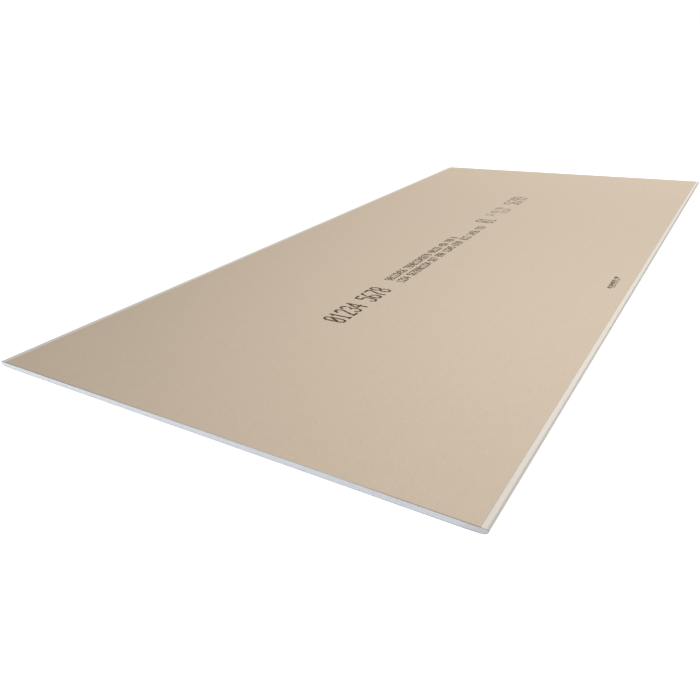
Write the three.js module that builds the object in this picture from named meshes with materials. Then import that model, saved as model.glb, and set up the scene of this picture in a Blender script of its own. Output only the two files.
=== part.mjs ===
// A gypsum drywall sheet, lying on its face with its back up.
//
// A foamed gypsum core is cast between two paper liners. The face paper is scored and folded up round both long
// edges and over onto the back, and the back paper is glued down on the folded margins, short of the edges. The
// long edges are half-round, with a taper on the face side that makes room for joint tape. The two ends are cut
// square across and show the bare core between the papers.
//
// Millimetres. +X runs along the sheet, +Y across it and +Z up. The origin is the middle of the underside.

import * as THREE from "three";

// ---- Driving dimensions ---------------------------------------------------------------------------------------

const sheetLength = 2500; // from cut end to cut end
const sheetWidth = 1200; // over the two wrapped edges
const sheetThickness = 12.5; // over both papers

const facePaperThickness = 0.3;
const backPaperThickness = 0.3;
const backPaperInset = 14.5; // mean width of the strips of folded face paper left bare beside the back paper
const backPaperDrift = 2; // how far off the centre line the back paper was laid, towards -Y
const glueLap = 15; // folded face paper that runs on underneath the back paper

const taperWidth = 45; // tapered band of the face, measured in from the edge
const taperDepth = 1.5; // what the taper takes off the thickness by the time it reaches the edge

const backArrisRadius = 3; // round from the back into the edge
const noseRadius = 5.5; // nose, from the edge's outermost line down towards the face
const noseTurn = THREE.MathUtils.degToRad(53); // angle that the nose turns through before it eases off

const arcStep = THREE.MathUtils.degToRad(5); // largest turn between neighbouring points of an arc

// ---- Levels and places that follow from them ------------------------------------------------------------------

const edge = sheetWidth / 2; // outermost line of the long edge, across from the centre line
const backPaperEdge = edge - backPaperInset;
const marginEnd = backPaperEdge - glueLap; // where the folded face paper stops
const marginTop = sheetThickness - backPaperThickness; // top of the folded margins, underside of the back paper
const marginUnderside = marginTop - facePaperThickness;

// ---- The long edge --------------------------------------------------------------------------------------------

// Points of an arc, from one angle to another, both ends included.
function arcPoints(centre, radius, startAngle, endAngle) {
  const steps = Math.max(1, Math.ceil((endAngle - startAngle) / arcStep));
  return new THREE.ArcCurve(centre.x, centre.y, radius, startAngle, endAngle, false).getPoints(steps);
}

// The line of one long edge in the cross-section (x across, y up), from the foot of the taper on the face,
// round the nose and up over the back arris. `inset` shifts the whole line square to itself into the sheet. The
// paper's outside is the line at 0; its inside, which is also the skin of the core, is the line one paper in.
//
// Three arcs follow each other without a kink: a wide one that eases out of the taper, the nose, and the back
// arris. The nose and the arris meet on the outermost line, where both run straight up. The wide arc's radius is
// the one that touches the taper and the end of the nose.
function edgeLine(inset) {
  const taperAngle = Math.atan(taperDepth / taperWidth);
  const taperFoot = new THREE.Vector2(edge - taperWidth, 0);
  const taperNormal = new THREE.Vector2(Math.sin(taperAngle), -Math.cos(taperAngle)); // out of the face
  const noseHeight = marginTop - backArrisRadius; // of the outermost line

  const arrisCentre = new THREE.Vector2(edge - backArrisRadius, noseHeight);
  const noseCentre = new THREE.Vector2(edge - noseRadius, noseHeight);

  const heightOverTaper = -noseCentre.clone().sub(taperFoot).dot(taperNormal);
  const closing = Math.sin(noseTurn + taperAngle);
  const easeRadius = (heightOverTaper - noseRadius * closing) / (1 - closing);
  const backAlongNose = new THREE.Vector2(-Math.cos(noseTurn), Math.sin(noseTurn));
  const easeCentre = noseCentre.clone().addScaledVector(backAlongNose, easeRadius - noseRadius);

  const ease = arcPoints(easeCentre, easeRadius - inset, taperAngle - Math.PI / 2, -noseTurn);
  const nose = arcPoints(noseCentre, noseRadius - inset, -noseTurn, 0);
  const arris = arcPoints(arrisCentre, backArrisRadius - inset, 0, Math.PI / 2);

  // The shifted taper and the shifted face cross a little nearer to the centre line.
  const foot = new THREE.Vector2(taperFoot.x - inset * Math.tan(taperAngle / 2), inset);
  return [foot, ...ease, ...nose.slice(1), ...arris.slice(1)];
}

const mirrored = (points) => points.map((p) => new THREE.Vector2(-p.x, p.y)).reverse();

// ---- Cross-sections -------------------------------------------------------------------------------------------

const at = (across, up) => new THREE.Vector2(across, up);

// The face paper: along the face, round both edges and back over the margins, one paper thick throughout.
function facePaperSection() {
  const outside = [at(edge - backArrisRadius, marginTop), at(marginEnd, marginTop)];
  const rightOuter = [...edgeLine(0).slice(0, -1), ...outside];
  const rightInner = [...edgeLine(facePaperThickness), at(marginEnd, marginUnderside)];
  return new THREE.Shape([
    ...mirrored(rightOuter),
    ...rightOuter,
    ...rightInner.reverse(),
    ...mirrored(rightInner),
  ]);
}

// The core: fills the face paper and is let in by one paper under the folded margins.
function coreSection() {
  const right = [
    ...edgeLine(facePaperThickness),
    at(marginEnd, marginUnderside),
    at(marginEnd, marginTop),
  ];
  return new THREE.Shape([...mirrored(right), ...right]);
}

// The back paper: one flat strip on the core and the margins. It was not laid quite in the middle, so one margin
// shows a little more of the face paper than the other.
function backPaperSection() {
  const near = -backPaperEdge - backPaperDrift;
  const far = backPaperEdge - backPaperDrift;
  return new THREE.Shape([at(near, marginTop), at(far, marginTop), at(far, sheetThickness), at(near, sheetThickness)]);
}

// ---- Pieces ---------------------------------------------------------------------------------------------------

// Runs a cross-section the length of the sheet, centred on the origin, and lays it along +X.
function runAlongSheet(section) {
  const geometry = new THREE.ExtrudeGeometry(section, { depth: sheetLength, bevelEnabled: false });
  geometry.translate(0, 0, -sheetLength / 2);
  geometry.rotateX(Math.PI / 2);
  geometry.rotateZ(Math.PI / 2);
  return geometry;
}

function piece(name, section, look) {
  const mesh = new THREE.Mesh(runAlongSheet(section), new THREE.MeshStandardMaterial(look));
  mesh.name = name;
  return mesh;
}

const drywallSheet = new THREE.Group();
drywallSheet.name = "drywall_sheet";
drywallSheet.add(
  piece("gypsum_core", coreSection(), { color: 0xd9dde1, roughness: 0.95, metalness: 0 }),
  piece("face_paper", facePaperSection(), { color: 0xded5c9, roughness: 0.8, metalness: 0 }),
  piece("back_paper", backPaperSection(), { color: 0xccbba6, roughness: 0.85, metalness: 0 }),
);

export default drywallSheet;
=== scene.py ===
# %% [markdown]
# # A sheet of drywall, lying on its face
#
# Drywall is a sandwich. A foamed gypsum core is cast between two papers: an ivory face paper, which is
# folded up round both long edges and back over the margins, and a tan back paper, which is glued down
# between the folds. The construction comes packed, at its real size, and nothing in this script moves or
# resizes it. What is left for us is the surface: fibres in the paper, the porous cut of the core, and a
# line of ink-jet print on the back.
#
# Everything is in metres. +X runs along the sheet, +Y across it and +Z up, and the origin is in the middle
# of the underside.

# %% Load the fixed frame
import math
from dataclasses import dataclass

import bmesh
import bpy
from mathutils import Matrix, Vector


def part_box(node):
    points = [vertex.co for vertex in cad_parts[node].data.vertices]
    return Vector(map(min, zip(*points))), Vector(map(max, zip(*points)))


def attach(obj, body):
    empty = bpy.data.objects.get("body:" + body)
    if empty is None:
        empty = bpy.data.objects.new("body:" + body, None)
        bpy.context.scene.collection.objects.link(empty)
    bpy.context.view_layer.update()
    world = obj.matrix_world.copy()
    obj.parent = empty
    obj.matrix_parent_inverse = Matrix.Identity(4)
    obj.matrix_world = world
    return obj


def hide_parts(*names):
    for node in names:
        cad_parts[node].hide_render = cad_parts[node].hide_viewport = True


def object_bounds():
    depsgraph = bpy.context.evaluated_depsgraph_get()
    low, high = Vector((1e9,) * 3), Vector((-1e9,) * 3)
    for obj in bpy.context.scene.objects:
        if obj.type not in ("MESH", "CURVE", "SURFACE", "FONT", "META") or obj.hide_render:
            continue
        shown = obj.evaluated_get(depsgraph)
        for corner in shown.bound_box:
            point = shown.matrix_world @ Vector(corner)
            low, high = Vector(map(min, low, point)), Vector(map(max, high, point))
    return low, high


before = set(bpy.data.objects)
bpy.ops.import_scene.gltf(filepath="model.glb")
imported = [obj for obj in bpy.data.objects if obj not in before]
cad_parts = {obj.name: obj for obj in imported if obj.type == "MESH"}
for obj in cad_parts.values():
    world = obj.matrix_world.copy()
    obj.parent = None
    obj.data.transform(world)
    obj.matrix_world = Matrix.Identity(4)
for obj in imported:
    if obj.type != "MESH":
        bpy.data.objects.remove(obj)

MM = 0.001

frame_low, frame_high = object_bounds()
sheet_length, sheet_width, sheet_thickness = frame_high - frame_low
half_length = sheet_length / 2
half_width = sheet_width / 2
print(f"frame: {sheet_length:.4f} x {sheet_width:.4f} x {sheet_thickness:.4f} m")
print(f"frame: nodes {sorted(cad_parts)}")

# %% [markdown]
# ## The camera
#
# The sheet is seen from a little above one corner, close enough that its near end looks much wider than its
# far end. A camera is easiest to read as a place, the point that it looks at, and how far it leans, so
# those are the values that are named. The small sideways shift belongs to the framing: the lens points a
# little to the right of the middle of the view.

# %% Camera
camera_place = Vector((-1.9212, -0.8371, 0.6472))
camera_target = Vector((-0.8298, -0.1412, 0.0125))
camera_lean = math.radians(3.0)
camera_lens = 32.663  # millimetres
camera_sensor = 36  # millimetres
camera_shift = -0.0226  # as a share of the width of the view

camera_data = bpy.data.cameras.new("camera")
camera_data.lens = camera_lens
camera_data.sensor_width = camera_sensor
camera_data.shift_x = camera_shift
camera_data.clip_start = 0.01
camera = bpy.data.objects.new("camera", camera_data)
bpy.context.scene.collection.objects.link(camera)
aim = (camera_target - camera_place).to_track_quat("-Z", "Y").to_matrix().to_4x4()
camera.matrix_world = Matrix.Translation(camera_place) @ aim @ Matrix.Rotation(-camera_lean, 4, "Z")
bpy.context.scene.camera = camera
print(f"camera: {(camera_target - camera_place).length:.3f} m from the point that it looks at")

# %% [markdown]
# ## Node trees, written as sentences
#
# Shaders and Geometry Nodes are both trees of nodes. Clicking them together is pleasant, but a script that
# links sockets one by one is hard to read. Two small classes help. `Tree.node` adds any node in one call:
# its type, its settings, and the values or links of its sockets. `Wire` wraps an output socket, so that
# sums and comparisons on it add Math nodes by themselves, and `1 - mask` means what it says.

# %% Node tree helper
class Wire:
    """An output socket of a node tree. Arithmetic on it adds Math nodes."""

    def __init__(self, tree, socket):
        self.tree = tree
        self.socket = socket

    def output(self, name):
        """Another output of the same node."""
        return Wire(self.tree, self.socket.node.outputs[name])

    def math(self, operation, *values):
        """A Math node on these values."""
        inputs = dict(enumerate(values))
        return self.tree.node("ShaderNodeMath", {"operation": operation}, inputs)

    def __add__(self, other):
        return self.math("ADD", self, other)

    def __sub__(self, other):
        return self.math("SUBTRACT", self, other)

    def __rsub__(self, other):
        return self.math("SUBTRACT", other, self)

    def __mul__(self, other):
        return self.math("MULTIPLY", self, other)

    def __truediv__(self, other):
        return self.math("DIVIDE", self, other)

    def __rtruediv__(self, other):
        return self.math("DIVIDE", other, self)

    def __gt__(self, other):
        return self.math("GREATER_THAN", self, other)

    def __lt__(self, other):
        return self.math("LESS_THAN", self, other)

    def __abs__(self):
        return self.math("ABSOLUTE", self)

    __radd__ = __add__
    __rmul__ = __mul__

    def at_least(self, other):
        """The greater of the two."""
        return self.math("MAXIMUM", self, other)

    def between(self, at_zero, at_one):
        """at_zero where the wire is 0, at_one where it is 1, and in proportion in between."""
        return self * (at_one - at_zero) + at_zero

    def fade(self, start, end):
        """0 at start and 1 at end, smoothly in between; start may be the higher one."""
        settings = {"interpolation_type": "SMOOTHSTEP"}
        inputs = {"Value": self, "From Min": start, "From Max": end}
        return self.tree.node("ShaderNodeMapRange", settings, inputs)


class Tree:
    """A node tree that is built by calls, one call for each node."""

    def __init__(self, node_tree):
        self.node_tree = node_tree

    def node(self, kind, settings=None, inputs=None, output=0):
        """Adds a node: its settings, then its sockets by name or number. Gives one of its outputs."""
        made = self.node_tree.nodes.new(kind)
        for name, value in (settings or {}).items():
            setattr(made, name, value)
        for name, value in (inputs or {}).items():
            if isinstance(value, Wire):
                self.node_tree.links.new(value.socket, made.inputs[name])
            else:
                made.inputs[name].default_value = value
        return Wire(self, made.outputs[output]) if made.outputs else made


# %% [markdown]
# ## Patterns that the materials share
#
# Paper and gypsum are both plain at arm's length and busy close up, so every material here is built the
# same way: a base colour, then a few patterns of very different sizes laid over it with a light hand. All
# of them read Object coordinates, which are real metres on this sheet, so a size in a pattern is a size on
# the real thing.

# %% Shared patterns
def colour(red, green, blue):
    """A colour as it is picked on a screen, 0 to 255, turned into the linear values that shaders use."""
    shares = (channel / 255 for channel in (red, green, blue))
    return (*(s / 12.92 if s <= 0.04045 else ((s + 0.055) / 1.055) ** 2.4 for s in shares), 1)


def stretched(tree, place, length, width, turn=0.0):
    """Coordinates in which a pattern of size 1 is this long, along X turned by turn, and this wide."""
    inputs = {"Vector": place, "Rotation": (0, 0, turn), "Scale": (1 / length, 1 / width, 1 / width)}
    return tree.node("ShaderNodeMapping", {"vector_type": "POINT"}, inputs)


def cloud(tree, place, detail=2.0, roughness=0.5):
    """Smooth noise around 0, about -0.5 to 0.5."""
    inputs = {"Vector": place, "Scale": 1.0, "Detail": detail, "Roughness": roughness}
    return tree.node("ShaderNodeTexNoise", {"noise_dimensions": "3D"}, inputs) - 0.5


def jostled(tree, place, size, reach):
    """Coordinates pushed about by smooth noise of this size, up to reach (x, y, z), so that shapes bend."""
    inputs = {"Vector": stretched(tree, place, size, size), "Scale": 1.0, "Detail": 1.0}
    push = tree.node("ShaderNodeTexNoise", {"noise_dimensions": "3D"}, inputs, output="Color")
    return tree.node("ShaderNodeVectorMath", {"operation": "MULTIPLY_ADD"}, {0: push, 1: reach, 2: place})


def blend(tree, mask, under, over, mode="MIX"):
    """over laid on under where mask is 1. A Mix node's colours have the numbers 6, 7 and, coming out, 2."""
    settings = {"data_type": "RGBA", "blend_type": mode, "clamp_factor": True}
    return tree.node("ShaderNodeMix", settings, {0: mask, 6: under, 7: over}, output=2)


def shade(tree, under, amount):
    """under made lighter or darker by amount, a wire around 0: 0.1 is a tenth lighter."""
    factor = amount + 1.0
    grey = tree.node("ShaderNodeCombineColor", {}, {"Red": factor, "Green": factor, "Blue": factor})
    return blend(tree, 1.0, under, grey, "MULTIPLY")


def new_material(name):
    """An empty node material: its tree, its shader node and its Object coordinates."""
    material = bpy.data.materials.new(name)
    material.use_nodes = True
    tree = Tree(material.node_tree)
    shader = material.node_tree.nodes["Principled BSDF"]
    place = tree.node("ShaderNodeTexCoord", output="Object")
    return material, tree, shader, place


def connect(tree, shader, inputs):
    """Links wires to a shader that is there already, and sets its plain values."""
    for name, value in inputs.items():
        if isinstance(value, Wire):
            tree.node_tree.links.new(value.socket, shader.inputs[name])
        else:
            shader.inputs[name].default_value = value


def axis_of(tree, place, axis):
    """One coordinate of a place: X, Y or Z."""
    return tree.node("ShaderNodeSeparateXYZ", {}, {"Vector": place}, output=axis)


# The painted shade line along a cut thins from each corner: where that begins and ends, in shares of
# half_width.
thinning_at_minus_y = (-0.77, -0.57)
thinning_at_plus_y = (0.75, -0.5)
weaker_between = 0.85  # the share of the painted shade that is missing between the two


def cut_shade_strength(tree, place):
    """How strong the painted shade line along a cut is: full at the two corners, and weaker between them.
    """
    across = axis_of(tree, place, "Y") / half_width  # -1 at one long edge and 1 at the other
    return 1 - across.fade(*thinning_at_minus_y) * across.fade(*thinning_at_plus_y) * weaker_between


# %% [markdown]
# ## The two papers
#
# Liner board is made wet, on a running wire, from waste paper. That leaves marks at four sizes. The fibres
# clump into soft clouds a centimetre or two across; they lie mostly along the sheet, which draws faint
# streaks in that direction; single fibres show as a fine grain; and here and there a darker or lighter
# fleck from old print or bleached stock sticks out. The tan back shows all four more than the ivory face,
# which has a finer top ply.
#
# A scan of real board laid over the sheet would bring all of this at once, but it would repeat, and it has
# one fixed sharpness. Noise at four sizes never repeats, and how strong each one is stays a number to turn.
#
# Both are grey inside, because only the top ply is made from clean fibre. That shows where the paper was
# cut, so masks pick out the cuts by their place. A narrow rim beside each end is darkened with painted
# shade, most of all near the corners, for the thin shadow line along the cut. On the long edges the arris,
# where the back turns down into the edge, is greyed with painted shade, a little more towards the far end,
# and the nose below it gets less of it, which paints it lighter, as if lit from the floor.

# %% Paper materials
fleck_edge = (0.45, 0.25)  # how far from its middle a fleck ends and is full, as shares of its cell
cut_skin = 0.05 * MM  # how far in from a cut its colour reaches
shaded_rim = 1.0 * MM  # width of the rim of painted shade beside each end
shaded_arris = (half_width - 4.6 * MM, half_width - 1.9 * MM)  # where the painted shade on the arris begins and where it is full
arris_shading = (0.23, 0.41)  # how strong that painted shade is towards the near end and towards the far end
lighter_nose = (half_width - 1.0 * MM, half_width - 0.2 * MM)  # where the painted shade thins out on the nose and where it is least
nose_lightening = (0.8, 0.5)  # the share of it that is missing there, at the near end and further along; this paints the nose lighter

old_print = colour(120, 98, 78)
bleached_stock = colour(240, 232, 218)
# Painted shade: a grey for the arris of the long edges.
edge_shade_grey = colour(116, 112, 112)
# Painted shade: a dark grey for the rim beside each cut end.
rim_shade_grey = colour(96, 90, 84)
grey_pulp = colour(86, 79, 72)


def flecks(tree, place, length, width, turn, share):
    """Scattered short fibres: 1 on a fleck, 0 elsewhere. share is how many of the cells hold one."""
    cells = tree.node(
        "ShaderNodeTexVoronoi",
        {"voronoi_dimensions": "3D", "feature": "F1"},
        {"Vector": stretched(tree, place, length, width, turn), "Scale": 1.0},
    )
    chosen = tree.node("ShaderNodeSeparateColor", {}, {"Color": cells.output("Color")}) > 1 - share
    return cells.fade(*fleck_edge) * chosen


def paper(name, top, streak, clouding, grain, fleck_share, trimmed=None):
    """A liner board. streak, clouding and grain are how strongly each pattern shows, as shares of the
    brightness. trimmed is the lowest and highest y of a paper whose long sides were cut too."""
    material, tree, shader, place = new_material(name)
    streaks = cloud(tree, stretched(tree, place, length=0.9, width=0.012), detail=3.0)
    clouds = cloud(tree, stretched(tree, place, length=0.03, width=0.016), detail=3.0, roughness=0.6)
    fibres = cloud(tree, stretched(tree, place, length=0.0022, width=0.0007), detail=2.0)
    surface = shade(tree, top, streaks * streak + clouds * clouding + fibres * grain)

    lying = jostled(tree, place, size=0.012, reach=(0.014, 0.014, 0))
    dark_flecks = flecks(tree, lying, length=0.0045, width=0.0009, turn=0.4, share=fleck_share)
    pale_flecks = flecks(tree, lying, length=0.0055, width=0.001, turn=-0.5, share=fleck_share)
    surface = blend(tree, dark_flecks * 0.22, surface, old_print)
    surface = blend(tree, pale_flecks * 0.3, surface, bleached_stock)

    across = axis_of(tree, place, "Y")
    along = axis_of(tree, place, "X")
    # Painted shade on the arris of each long edge, lightened again on the nose below it.
    arris_shade = abs(across).fade(*shaded_arris) * along.fade(-0.9, 0.9).between(*arris_shading)
    nose_light = abs(across).fade(*lighter_nose) * along.fade(-1.2, -0.2).between(*nose_lightening)
    surface = blend(tree, arris_shade * (1 - nose_light), surface, edge_shade_grey)
    # Painted shade: a dark rim beside each cut end, for the shadow line along the cut.
    rim_patchiness = cloud(tree, stretched(tree, place, length=0.004, width=0.004), detail=2.0)
    beside_end = abs(along).fade(half_length - shaded_rim, half_length - shaded_rim / 3)
    rim = beside_end * (rim_patchiness * 0.6 + 0.5) * cut_shade_strength(tree, place)
    surface = blend(tree, rim, surface, rim_shade_grey)
    cut = abs(along) > half_length - cut_skin
    if trimmed:
        cut = cut.at_least(across < trimmed[0] + cut_skin).at_least(across > trimmed[1] - cut_skin)
    plies = cloud(tree, stretched(tree, place, length=0.0004, width=0.0001), detail=1.0)
    inside = shade(tree, grey_pulp, plies * 0.5)

    felt = cloud(tree, stretched(tree, place, length=0.0015, width=0.0008), detail=2.0, roughness=0.6)
    bump = tree.node("ShaderNodeBump", {}, {"Height": felt, "Strength": 0.35, "Distance": 0.08 * MM})
    connect(tree, shader, {
        "Base Color": blend(tree, cut, surface, inside),
        "Roughness": fibres * 0.1 + 0.86,
        "Normal": bump,
        "Specular IOR Level": 0.3,
    })
    return material


trimmed_back = tuple(corner.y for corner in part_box("back_paper"))
tan_paper = paper(
    "tan_back_paper",
    colour(211, 193, 171),
    streak=0.035,
    clouding=0.05,
    grain=0.12,
    fleck_share=0.08,
    trimmed=trimmed_back,
)
ivory_paper = paper(
    "ivory_face_paper",
    colour(230, 223, 213),
    streak=0.02,
    clouding=0.03,
    grain=0.06,
    fleck_share=0.03,
)
bare_margins = [trimmed_back[0] - frame_low.y, frame_high.y - trimmed_back[1]]
print(f"papers: the back leaves {bare_margins[0] / MM:.1f} and {bare_margins[1] / MM:.1f} mm bare")


# %% [markdown]
# ## Gypsum
#
# The core is mixed with foam and sets full of air. Cut across, it is a chalky blue-white with pores
# everywhere, most of them under a millimetre. The big ones are modelled later on; the fine ones are a
# pattern here, because as faces they would take millions. The pattern is the cells of a Voronoi texture,
# each with a dent in its middle. Every dent has a radius of its own, and noise bends the cells, so that the
# pores come in many sizes and uneven shapes. Next to the papers the mix is denser and has hardly any.
#
# Just under the back paper the rim of the core is darkened with painted shade, for the shadow line under
# the paper's cut edge. Towards the -Y edge the gypsum grows a little greyer.

# %% Gypsum material
core_low, core_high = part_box("gypsum_core")
pore_free = 0.4 * MM  # up to this height there are no pores
dense_skin = 1.2 * MM  # and this far in from either side there are as many as in the middle
shade_depths = (0.8 * MM, 1.6 * MM)  # how far down the painted shade reaches at the -Y edge and at the +Y edge
greyer_corner = (60 * MM - half_width, 15 * MM - half_width)  # y where the greying begins and where it is full
corner_greying = 0.14  # how much of the grey shows there

chalk_white = colour(225, 229, 236)
# Painted shade for the fine pores.
pore_shade = colour(160, 165, 172)
# Painted shade for the rim of the core under the back paper.
core_rim_shade_grey = colour(105, 100, 95)
corner_grey = colour(120, 120, 118)


def gypsum():
    material, tree, shader, place = new_material("foamed_gypsum")
    blotches = cloud(tree, stretched(tree, place, length=0.02, width=0.02), detail=3.0)
    chalk = cloud(tree, stretched(tree, place, length=0.0012, width=0.0012), detail=3.0, roughness=0.65)
    uneven = jostled(tree, place, size=0.002, reach=(0.0016, 0.0016, 0.0016))
    cells = tree.node(
        "ShaderNodeTexVoronoi",
        {"voronoi_dimensions": "3D", "feature": "F1"},
        {"Vector": stretched(tree, uneven, length=0.0012, width=0.0012), "Scale": 1.0},
    )
    lot = tree.node("ShaderNodeSeparateColor", {}, {"Color": cells.output("Color")})
    radius = lot.between(0.14, 0.56)
    pores = cells.fade(radius, radius * 0.4)
    height = axis_of(tree, place, "Z")
    foamy = height.fade(pore_free, dense_skin) * height.fade(sheet_thickness, sheet_thickness - dense_skin)
    pores = pores * foamy

    surface = shade(tree, chalk_white, blotches * 0.08 + chalk * 0.16)
    # Painted shade inside the fine pores.
    surface = blend(tree, pores * 0.55, surface, pore_shade)
    # Painted shade on the rim of the core, just under the back paper.
    reach = axis_of(tree, place, "Y").fade(-half_width, half_width).between(*shade_depths)
    core_rim_shade = height.fade(core_high.z - reach * 1.6, core_high.z - reach * 0.6) * (chalk * 0.6 + 0.75)
    surface = blend(tree, core_rim_shade * cut_shade_strength(tree, place), surface, core_rim_shade_grey)
    # Greyer towards the -Y edge.
    greying = axis_of(tree, place, "Y").fade(*greyer_corner) * corner_greying
    surface = blend(tree, greying, surface, corner_grey)
    dents = chalk * 1.3 - pores
    bump = tree.node("ShaderNodeBump", {}, {"Height": dents, "Strength": 0.8, "Distance": 0.3 * MM})
    connect(tree, shader, {
        "Base Color": surface,
        "Roughness": 0.95,
        "Normal": bump,
        "Specular IOR Level": 0.2,
    })
    return material


gypsum_material = gypsum()
print(f"gypsum: {len(gypsum_material.node_tree.nodes)} shader nodes")

# %% [markdown]
# ## The cut ends of the core
#
# A board is cut to length while the gypsum is still fresh, and the knife leaves the papers sharp but pulls
# crumbs and opens bubbles in the core. So the gypsum lies a fraction of a millimetre behind the paper's
# edge and is pitted. A flat cap with a bump pattern would give itself away along that edge, so the core
# gets new ends.
#
# The plan has two halves. First a plain mesh: the outline of the core is read from its frame node, and each
# end becomes a grid of small squares that follows that outline. Then Geometry Nodes push the squares
# inwards by a rule. The rule only ever digs, so the core stays inside its own size.

# %% Grid ends for the core
square = 0.7 * MM  # size of the squares
core_rows = 17  # squares from the bottom of the core to its top
rounded_zone = 13 * MM  # beside each long edge, where the columns follow the outline's corners
step_gap = 0.01 * MM  # from the step under the end of the face paper to the columns on its two sides
narrowest = 0.15 * MM  # no other column is narrower
touching = 0.001 * MM  # corners that lie closer than this are one corner


def half_outline(node):
    """Right half of a node's section: its lower and its upper line of (across, up), from the middle out.
    Rounded to a thousandth of a millimetre, corners that share a place count once."""
    corners = {(round(v.co.y, 6), round(v.co.z, 6)) for v in node.data.vertices if v.co.y > 0}
    widest = max(corners)
    lower = sorted(c for c in corners if c[1] <= widest[1])
    upper = sorted((c for c in corners if c[1] >= widest[1]), key=lambda c: (c[0], -c[1]))
    return lower, upper


def height_on(line, across):
    """Height of a line at a place across the sheet; before the line's first point it runs level."""
    for (y0, z0), (y1, z1) in zip(line, line[1:]):
        if y0 <= across <= y1 and y1 > y0:
            return z0 + (z1 - z0) * (across - y0) / (y1 - y0)
    return line[0][1] if across < line[0][0] else line[-1][1]


def stations_across(lower, upper):
    """Where the right half's columns lie: evenly at first, then at the outline's own corners."""
    edge = lower[-1][0]
    rounded = edge - rounded_zone
    even = [i * square for i in range(int(rounded / square) + 1)]
    corners = [y for y, z in lower + upper if y > rounded]
    step = upper[0][0]
    beside_step = [step - step_gap, step + step_gap]
    places = sorted(even + corners + beside_step)
    kept = [places[0]]
    for place in places[1:]:
        if place - kept[-1] > narrowest or place in beside_step:
            kept.append(place)
    kept[-1] = edge
    return kept


def grid_core():
    """The core as a plain mesh: a grid on each cut end, and long strips between the two."""
    lower, upper = half_outline(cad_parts["gypsum_core"])
    right = stations_across(lower, upper)
    places = [-y for y in reversed(right[1:])] + right
    column = core_rows + 1
    corners = []
    for x in (core_low.x, core_high.x):
        for y in places:
            bottom, top = height_on(lower, abs(y)), height_on(upper, abs(y))
            corners += [(x, y, bottom + (top - bottom) * row / core_rows) for row in range(column)]
    far = len(places) * column  # from a corner of the first end to its twin on the second
    faces = []
    for i in range(len(places) - 1):
        here, beside = i * column, (i + 1) * column
        for row in range(core_rows):
            near_end = (here + row, here + row + 1, beside + row + 1, beside + row)
            faces += [near_end, tuple(far + corner for corner in reversed(near_end))]
        faces.append((here, beside, far + beside, far + here))
        here, beside = here + core_rows, beside + core_rows
        faces.append((here, far + here, far + beside, beside))
    mesh = bpy.data.meshes.new("core")
    mesh.from_pydata(corners, [], faces)
    return mesh


def merged(mesh):
    """The mesh with corners that share a place made one."""
    work = bmesh.new()
    work.from_mesh(mesh)
    bmesh.ops.remove_doubles(work, verts=work.verts, dist=touching)
    work.to_mesh(mesh)
    work.free()
    return mesh


core = bpy.data.objects.new("crumbled_core", merged(grid_core()))
bpy.context.scene.collection.objects.link(core)
print(f"core: {len(core.data.polygons)} faces before the nodes")

# %% [markdown]
# Geometry Nodes are a program that runs over a mesh. A tree is built once, with its sizes as named inputs,
# and any object can use it through a modifier. When the result is final, `grow` swaps it in as a plain mesh
# and takes the modifier away.

# %% Geometry Nodes helper
def new_geometry_tree(name, sockets):
    """A Geometry Nodes tree with geometry in and out. sockets gives its further inputs: {name: type}."""
    group = bpy.data.node_groups.new(name, "GeometryNodeTree")
    group.interface.new_socket("Geometry", in_out="INPUT", socket_type="NodeSocketGeometry")
    for label, kind in sockets.items():
        group.interface.new_socket(label, in_out="INPUT", socket_type=kind)
    group.interface.new_socket("Geometry", in_out="OUTPUT", socket_type="NodeSocketGeometry")
    tree = Tree(group)
    return tree, tree.node("NodeGroupInput")


def finish_tree(tree, geometry, material):
    """Ends a tree: instances become real, the material goes on, and the result leaves the tree."""
    real = tree.node("GeometryNodeRealizeInstances", {}, {"Geometry": geometry})
    painted = tree.node("GeometryNodeSetMaterial", {}, {"Geometry": real, "Material": material})
    tree.node("NodeGroupOutput", {}, {"Geometry": painted})
    return tree.node_tree


def grow(piece, group, values):
    """Runs a tree on a piece with these inputs, and leaves the result as the piece's own plain mesh."""
    modifier = piece.modifiers.new(group.name, "NODES")
    modifier.node_group = group
    for socket in group.interface.items_tree:
        if socket.in_out == "INPUT" and socket.name in values:
            modifier[socket.identifier] = values[socket.name]
    evaluated = piece.evaluated_get(bpy.context.evaluated_depsgraph_get())
    mesh = bpy.data.meshes.new_from_object(evaluated)
    piece.modifiers.clear()
    piece.data = mesh
    return piece


# %% [markdown]
# The rule for a cut end adds up three depths. The whole cut lies a little behind the papers; crumbs make it
# rough at the size of sand, with slow waves under them; and bubbles are dents in most of the cells of a
# Voronoi pattern, each with a radius of its own. Bubbles keep away from the papers, where the mix is dense.

# %% Crumbled ends by Geometry Nodes
wave_size = 14.0  # the slow waves of a cut, in crumbs
solid_cells = 0.35  # the share of the cells that hold no bubble
smooth_up_to = math.radians(55)  # edges that bend more than this stay sharp to the eye


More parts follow.
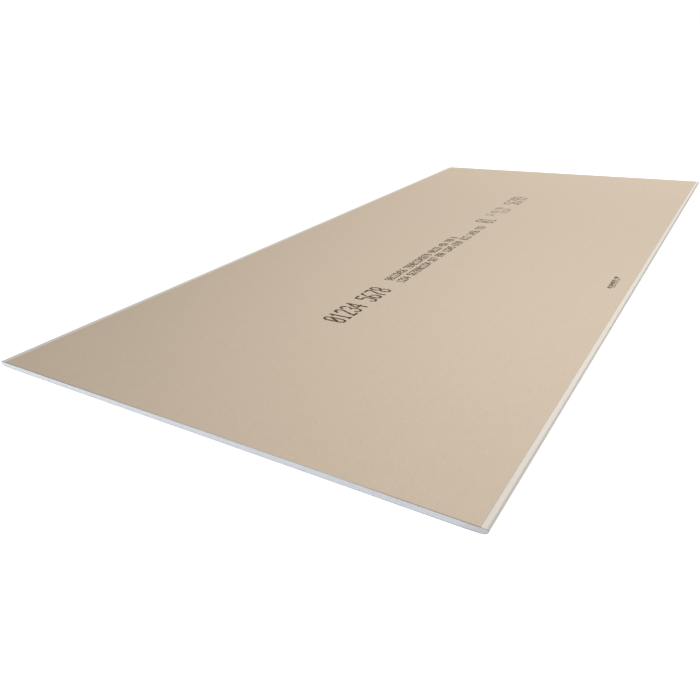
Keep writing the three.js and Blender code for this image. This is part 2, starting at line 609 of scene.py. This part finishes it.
def crumble_tree():
    tree, start = new_geometry_tree("crumbled ends", {
        "Setback": "NodeSocketFloat",
        "Crumb Size": "NodeSocketFloat",
        "Crumb Depth": "NodeSocketFloat",
        "Bubble Size": "NodeSocketFloat",
        "Bubble Depth": "NodeSocketFloat",
        "Dense Skin": "NodeSocketFloat",
        "Core Bottom": "NodeSocketFloat",
        "Core Top": "NodeSocketFloat",
        "Material": "NodeSocketMaterial",
    })
    place = tree.node("GeometryNodeInputPosition")
    along = axis_of(tree, place, "X")
    up = axis_of(tree, place, "Z")

    def scaled(size):
        inputs = {"Vector": place, "Scale": 1.0 / size}
        return tree.node("ShaderNodeVectorMath", {"operation": "SCALE"}, inputs)

    crumbs = cloud(tree, scaled(start.output("Crumb Size")), detail=3.0, roughness=0.6) + 0.5
    waves = cloud(tree, scaled(start.output("Crumb Size") * wave_size)) + 0.5
    cells = tree.node(
        "ShaderNodeTexVoronoi",
        {"voronoi_dimensions": "3D", "feature": "F1"},
        {"Vector": scaled(start.output("Bubble Size")), "Scale": 1.0},
    )
    lot = tree.node("FunctionNodeSeparateColor", {}, {"Color": cells.output("Color")})
    radius = lot.between(0.1, 0.5)
    bubbles = cells.fade(radius, 0.0) * (lot.output("Green") > solid_cells)
    skin = start.output("Dense Skin")
    bottom, top = start.output("Core Bottom"), start.output("Core Top")
    foamy = up.fade(bottom + skin * 0.3, bottom + skin) * up.fade(top - skin * 0.3, top - skin)

    depth = start.output("Setback") + (crumbs + waves * 0.5) * start.output("Crumb Depth")
    depth = depth + bubbles * foamy * start.output("Bubble Depth")
    inwards = along.math("SIGN", along) * depth * -1.0
    offset = tree.node("ShaderNodeCombineXYZ", {}, {"X": inwards})
    moved = tree.node("GeometryNodeSetPosition", {}, {"Geometry": start, "Offset": offset})
    return finish_tree(tree, moved, start.output("Material"))


grow(core, crumble_tree(), {
    "Setback": 0.1 * MM,
    "Crumb Size": 2.5 * MM,
    "Crumb Depth": 0.35 * MM,
    "Bubble Size": 3.4 * MM,
    "Bubble Depth": 0.9 * MM,
    "Dense Skin": 1.8 * MM,
    "Core Bottom": core_low.z,
    "Core Top": core_high.z,
    "Material": gypsum_material,
})
core.data.set_sharp_from_angle(angle=smooth_up_to)
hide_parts("gypsum_core")
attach(core, "root")
deepest = max(core_high.x - abs(v.co.x) for v in core.data.vertices)
print(f"core: its ends lie {deepest / MM:.2f} mm back at the deepest bubble")

# %% [markdown]
# ## The papers' finish
#
# The papers' folds, margins and edges are real faces in the frame already, so there is nothing to model.
# Both keep their exact shape, and only get their material.

# %% Papers on the frame
for node, material in (("face_paper", ivory_paper), ("back_paper", tan_paper)):
    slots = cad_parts[node].data.materials
    slots.clear()
    slots.append(material)
    print(f"{node}: {material.name}, {len(material.node_tree.nodes)} shader nodes")

# %% [markdown]
# ## Ink-jet print
#
# The line prints its marks on the back as the board runs past a row of nozzles, so every character is made
# of dots: a few large characters, then small ones in two rows. What stands here is a plain count, 0 to 9
# over and over, broken into groups. Text objects would give it smooth strokes, which no row of nozzles
# draws; separate dots give the ragged strokes, the stray drops and the gaps of the real thing.
#
# Ink soaks into paper, so a mark is darkest where it went on wet and browner where the fibres drew it away.

# %% Ink material
wet_ink = colour(42, 33, 16)
soaked_ink = colour(82, 66, 38)


def ink():
    material, tree, shader, place = new_material("print_ink")
    soak = cloud(tree, stretched(tree, place, length=0.0012, width=0.0009), detail=3.0, roughness=0.7)
    connect(tree, shader, {
        "Base Color": blend(tree, soak + 0.4, wet_ink, soaked_ink),
        "Roughness": soak * 0.15 + 0.8,
        "Specular IOR Level": 0.2,
    })
    return material


ink_material = ink()
print(f"ink: {len(ink_material.node_tree.nodes)} shader nodes")

# %% [markdown]
# Seven lines of text hold the dot pattern of the ten numerals, the way a printer's character table does.
# The large numerals are stretched a long way across the sheet, so they get extra dots halfway between the
# rows, which close their strokes.

# %% Numerals as dots
NUMERAL_ROWS = (
    "01110 00100 01110 01110 00010 11111 00110 11111 01110 01110",
    "10001 01100 10001 10001 00110 10000 01000 00001 10001 10001",
    "10011 00100 00001 00001 01010 11110 10000 00010 10001 10001",
    "10101 00100 00010 00110 10010 00001 11110 00100 01110 01111",
    "11001 00100 00100 00001 11111 00001 10001 01000 10001 00001",
    "10001 00100 01000 10001 00010 10001 10001 01000 10001 00010",
    "01110 01110 11111 01110 00010 01110 01110 01000 01110 01100",
)
NUMERALS = [[row.split()[n] for row in reversed(NUMERAL_ROWS)] for n in range(10)]
DOT_COLUMNS = 5
COLUMNS_A_NUMERAL = DOT_COLUMNS + 1  # one column between neighbours stays empty


def columns_between(lower, upper):
    """Where a dot goes halfway between two rows of a pattern, so that a tall stroke closes up."""
    for column in range(DOT_COLUMNS):
        if lower[column] == "1" and upper[column] == "1":
            yield column
        for beside in (column - 1, column + 1):
            if 0 <= beside < DOT_COLUMNS and lower[column] == "1" and upper[beside] == "1":
                if upper[column] == "0" and lower[beside] == "0":
                    yield (column + beside) / 2


def numeral_dots(numeral, tall):
    """Column and row, counted from the foot, of each dot of a numeral."""
    rows = NUMERALS[numeral]
    for row, pattern in enumerate(rows):
        for column in range(DOT_COLUMNS):
            if pattern[column] == "1":
                yield column, row
        if tall and row + 1 < len(rows):
            for column in columns_between(pattern, rows[row + 1]):
                yield column, row + 0.5


print(f"numerals: {[len(list(numeral_dots(numeral, tall=False))) for numeral in range(10)]} dots each")

# %% [markdown]
# A line of print is its place, its size and how its numerals are grouped. A small class holds these and
# counts through the numerals. Each dot becomes a point with a size, for one Geometry Nodes tree to turn
# into a drop of ink.

# %% Lines of print
@dataclass
class PrintedLine:
    """A line of print that runs along the sheet. Lengths are in millimetres."""

    left: float  # x of its first column of dots
    foot: float  # y of its lowest row of dots
    height: float  # from the lowest row to the highest
    pitch: float  # from one numeral to the next
    groups: tuple  # how many numerals stand in each group
    weight: float  # size of a dot, as a share of the distance between dots
    tall: bool = False  # tall numerals have extra dots between the rows

    def dots(self, count):
        """Each dot as (x, y, width, length) in metres; count is the number that the line starts with."""
        column_step = self.pitch / COLUMNS_A_NUMERAL
        row_step = self.height / (len(NUMERAL_ROWS) - 1)
        dot_width = column_step * self.weight
        dot_length = row_step * self.weight / (2 if self.tall else 1)
        left = self.left
        for numerals in self.groups:
            for number in range(count, count + numerals):
                for column, row in numeral_dots(number % 10, self.tall):
                    x, y = left + column * column_step, self.foot + row * row_step
                    yield x * MM, y * MM, dot_width * MM, dot_length * MM
                left += self.pitch
            count += numerals
            left += self.pitch


PRINTED_LINES = [
    PrintedLine(left=-723, foot=-9.0, height=60, pitch=25.4, groups=(5,), weight=1.5, tall=True),
    PrintedLine(left=-568, foot=-9.0, height=60, pitch=25.4, groups=(4,), weight=1.5, tall=True),
    PrintedLine(left=-406, foot=27.8, height=23.5, pitch=12.84, groups=(8, 12, 5, 3, 3, 1), weight=1.5),
    PrintedLine(left=-406, foot=-10.4, height=23.5, pitch=12.8, groups=(4, 10, 3, 3, 5, 4), weight=1.5),
    PrintedLine(left=50, foot=-11.0, height=26, pitch=15.2, groups=(3, 4, 3), weight=1.35),
    PrintedLine(left=283, foot=-11.5, height=64, pitch=27.0, groups=(2,), weight=1.2, tall=True),
    PrintedLine(left=380, foot=26.0, height=25, pitch=14.0, groups=(2, 3, 3), weight=0.97),
    PrintedLine(left=440, foot=-10.0, height=25, pitch=14.0, groups=(5,), weight=0.95),
    PrintedLine(left=580, foot=-8.0, height=59, pitch=27.5, groups=(5,), weight=1.1, tall=True),
    PrintedLine(left=-220, foot=-543.0, height=8.4, pitch=8.25, groups=(9, 2), weight=2.0),
    PrintedLine(left=-213, foot=-550.8, height=4.4, pitch=6.2, groups=(5, 3, 3), weight=1.6),
]


def print_points(name, lines):
    """An object of loose points, one for each dot, with the dot's size as an attribute."""
    dots, count = [], 0
    for line in lines:
        dots += line.dots(count)
        count += sum(line.groups)
    mesh = bpy.data.meshes.new(name)
    mesh.from_pydata([(x, y, sheet_thickness) for x, y, _, _ in dots], [], [])
    size = mesh.attributes.new("dot_size", "FLOAT_VECTOR", "POINT")
    for entry, (_, _, width, length) in zip(size.data, dots):
        entry.vector = (width, length, 1)
    points = bpy.data.objects.new(name, mesh)
    bpy.context.scene.collection.objects.link(points)
    return points


# %% [markdown]
# A drop is a disc, sunk halfway into the paper, that stands less than a tenth of a millimetre proud of it.
# Eight sides are enough at this size, and they keep about two thousand drops light. Real drops wander a
# little, come out fatter or thinner, and a nozzle misses now and then. Those are the random values of the
# tree, and its seed is fixed.

# %% Drops of ink by Geometry Nodes
def drops_tree():
    tree, start = new_geometry_tree("drops of ink", {
        "Ink Height": "NodeSocketFloat",
        "Wander": "NodeSocketFloat",
        "Missing": "NodeSocketFloat",
        "Seed": "NodeSocketInt",
        "Material": "NodeSocketMaterial",
    })
    seed = start.output("Seed")

    def random(low, high, salt):
        """A number from low to high for each dot. A salt of its own keeps each use's draws apart.
        Sockets 2 and 3 are the limits of a plain number and 8 is the seed; output 1 is the number."""
        inputs = {2: low, 3: high, 8: seed + salt}
        return tree.node("FunctionNodeRandomValue", {"data_type": "FLOAT"}, inputs, output=1)

    missed = start.output("Missing") > random(0.0, 1.0, 1.0)
    inputs = {"Geometry": start, "Selection": missed}
    kept = tree.node("GeometryNodeDeleteGeometry", {"domain": "POINT"}, inputs)
    disc = tree.node("GeometryNodeMeshCylinder", {}, {"Vertices": 8, "Radius": 0.5, "Depth": 1.0})
    settings = {"data_type": "FLOAT_VECTOR"}
    named = tree.node("GeometryNodeInputNamedAttribute", settings, {"Name": "dot_size"})
    size = tree.node("ShaderNodeSeparateXYZ", {}, {"Vector": named})
    fatness = random(0.85, 1.15, 2.0)
    scale = tree.node("ShaderNodeCombineXYZ", {}, {
        "X": size * fatness,
        "Y": size.output("Y") * fatness,
        "Z": start.output("Ink Height") * random(0.8, 1.2, 3.0),
    })
    inputs = {"Points": kept, "Instance": disc, "Scale": scale}
    drops = tree.node("GeometryNodeInstanceOnPoints", {}, inputs)
    wander = start.output("Wander")
    offset = tree.node("ShaderNodeCombineXYZ", {}, {
        "X": wander * random(-1.0, 1.0, 4.0),
        "Y": wander * random(-1.0, 1.0, 5.0),
        "Z": 0.0,
    })
    moved = tree.node("GeometryNodeTranslateInstances", {}, {"Instances": drops, "Translation": offset})
    return finish_tree(tree, moved, start.output("Material"))


printed = grow(print_points("printed_numerals", PRINTED_LINES), drops_tree(), {
    "Ink Height": 0.14 * MM,
    "Wander": 0.12 * MM,
    "Missing": 0.015,
    "Seed": 7,
    "Material": ink_material,
})
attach(printed, "root")
print(f"print: {len(printed.data.polygons)} faces")

# %% [markdown]
# ## Floor, world and lamps
#
# The sheet lies on a white studio floor that runs out of sight. A camera ray that meets the floor sees
# mostly a white glow, and under it a share of real, shaded floor, which keeps the sheet's soft shadow. A
# mirror or a glass would show the same white. Every other ray meets ordinary matt white. The world does the
# same: white to the camera, and softer as a source of light.
#
# The floor has an opening where the sheet lies flat on it. From above the sheet hides it, and from below it
# lets the face be seen.

# %% Floor and world
def rays_that_see_white(tree):
    """1 on camera, mirror and glass rays, and 0 on the rays that carry light."""
    camera_ray = tree.node("ShaderNodeLightPath", output="Is Camera Ray")
    mirror_ray = camera_ray.output("Is Glossy Ray")
    glass_ray = camera_ray.output("Is Transmission Ray")
    return camera_ray.at_least(mirror_ray).at_least(glass_ray)


floor_white = (0.8, 0.8, 0.8, 1)  # the matt floor that the light meets
floor_glow = 0.84  # how strongly it glows to the camera
floor_seen = (0.5, 0.5, 0.5, 1)  # the floor under the glow: together they are white where nothing shades it


def white_floor():
    """Matt white to the light; to the camera mostly a glow, with enough real floor to show the shadow."""
    material = bpy.data.materials.new("white_floor")
    material.use_nodes = True
    material.node_tree.nodes.clear()
    tree = Tree(material.node_tree)
    shaded = tree.node("ShaderNodeBsdfDiffuse", {}, {"Color": floor_seen})
    glow = tree.node("ShaderNodeEmission", {}, {"Color": (1, 1, 1, 1), "Strength": floor_glow})
    seen = tree.node("ShaderNodeAddShader", {}, {0: shaded, 1: glow})
    lit = tree.node("ShaderNodeBsdfDiffuse", {}, {"Color": floor_white})
    surface = tree.node("ShaderNodeMixShader", {}, {0: rays_that_see_white(tree), 1: lit, 2: seen})
    tree.node("ShaderNodeOutputMaterial", {}, {"Surface": surface})
    return material


floor_reach = 100  # metres
sky_light = 0.35  # strength of the world as a lamp; the camera sees it at 1
floor_level = -0.2 * MM  # a hair below the sheet, so that the two don't fight over one plane
opening = (half_length - 5 * MM, half_width - 50 * MM)


def level_corners(x, y):
    """The four corners of a rectangle on the floor, from its half sizes."""
    return [(-x, -y, floor_level), (x, -y, floor_level), (x, y, floor_level), (-x, y, floor_level)]


floor_mesh = bpy.data.meshes.new("floor")
ring = [(i, (i + 1) % 4, 4 + (i + 1) % 4, 4 + i) for i in range(4)]
floor_mesh.from_pydata(level_corners(floor_reach, floor_reach) + level_corners(*opening), [], ring)
floor_mesh.materials.append(white_floor())
floor = bpy.data.objects.new("floor", floor_mesh)
bpy.context.scene.collection.objects.link(floor)

world = bpy.data.worlds.new("studio")
world.use_nodes = True
world.node_tree.nodes.clear()
sky = Tree(world.node_tree)
white_sky = sky.node("ShaderNodeBackground", {}, {"Color": (1, 1, 1, 1), "Strength": 1.0})
soft_sky = sky.node("ShaderNodeBackground", {}, {"Color": (1, 1, 1, 1), "Strength": sky_light})
mixed_sky = sky.node("ShaderNodeMixShader", {}, {0: rays_that_see_white(sky), 1: soft_sky, 2: white_sky})
sky.node("ShaderNodeOutputWorld", {}, {"Surface": mixed_sky})
bpy.context.scene.world = world
print(f"floor: {-floor_level / MM:.1f} mm below the sheet, which covers its opening")

# %% [markdown]
# Four softboxes do the rest. The biggest stands high beyond the far end, so that the light falls off slowly
# along the back towards the camera. A weaker one hangs over the near end, where the first one hardly
# reaches; it is turned away past the -Y edge, so that only the rim of its light falls on the sheet.
# Both hang inside the long edges, which leaves those edges in soft shade. Two low ones stand in front and
# light the cut end, which faces away from the other two. Together they light the sheet so that a colour
# comes out about as it was picked.

# %% Softboxes
def softbox(name, place, target, size, watts):
    """A round lamp at place, turned to target and this wide, that the camera doesn't see."""
    data = bpy.data.lights.new(name, "AREA")
    data.shape = "DISK"
    data.size = size
    data.energy = watts
    lamp = bpy.data.objects.new(name, data)
    facing = (Vector(target) - Vector(place)).to_track_quat("-Z", "Y").to_matrix().to_4x4()
    lamp.matrix_world = Matrix.Translation(place) @ facing
    lamp.visible_camera = False
    bpy.context.scene.collection.objects.link(lamp)


softbox("far key", place=(4.5, -0.45, 4.0), target=(1.2, -0.6, 0), size=1.2, watts=172)
softbox("near end", place=(-1.24, -0.45, 1.94), target=(2.36, -3.0, 0), size=0.8, watts=25)
softbox("front left", place=(-2.7, 1.0, 0.2), target=(-1.25, 0.2, 0), size=0.3, watts=12.9)
softbox("front right", place=(-2.8, -0.9, 0.28), target=(-1.25, -0.5, 0), size=0.4, watts=4.2)
print(f"lamps: {sum(lamp.energy for lamp in bpy.data.lights):.1f} W in all")

# %% [markdown]
# ## Finish
#
# The view transform stays at Standard, so that a colour is shown as it is. The ink stands less than a tenth
# of a millimetre above the paper, and nothing else reaches past the frame.

# %% Finish
bpy.context.scene.view_settings.view_transform = "Standard"
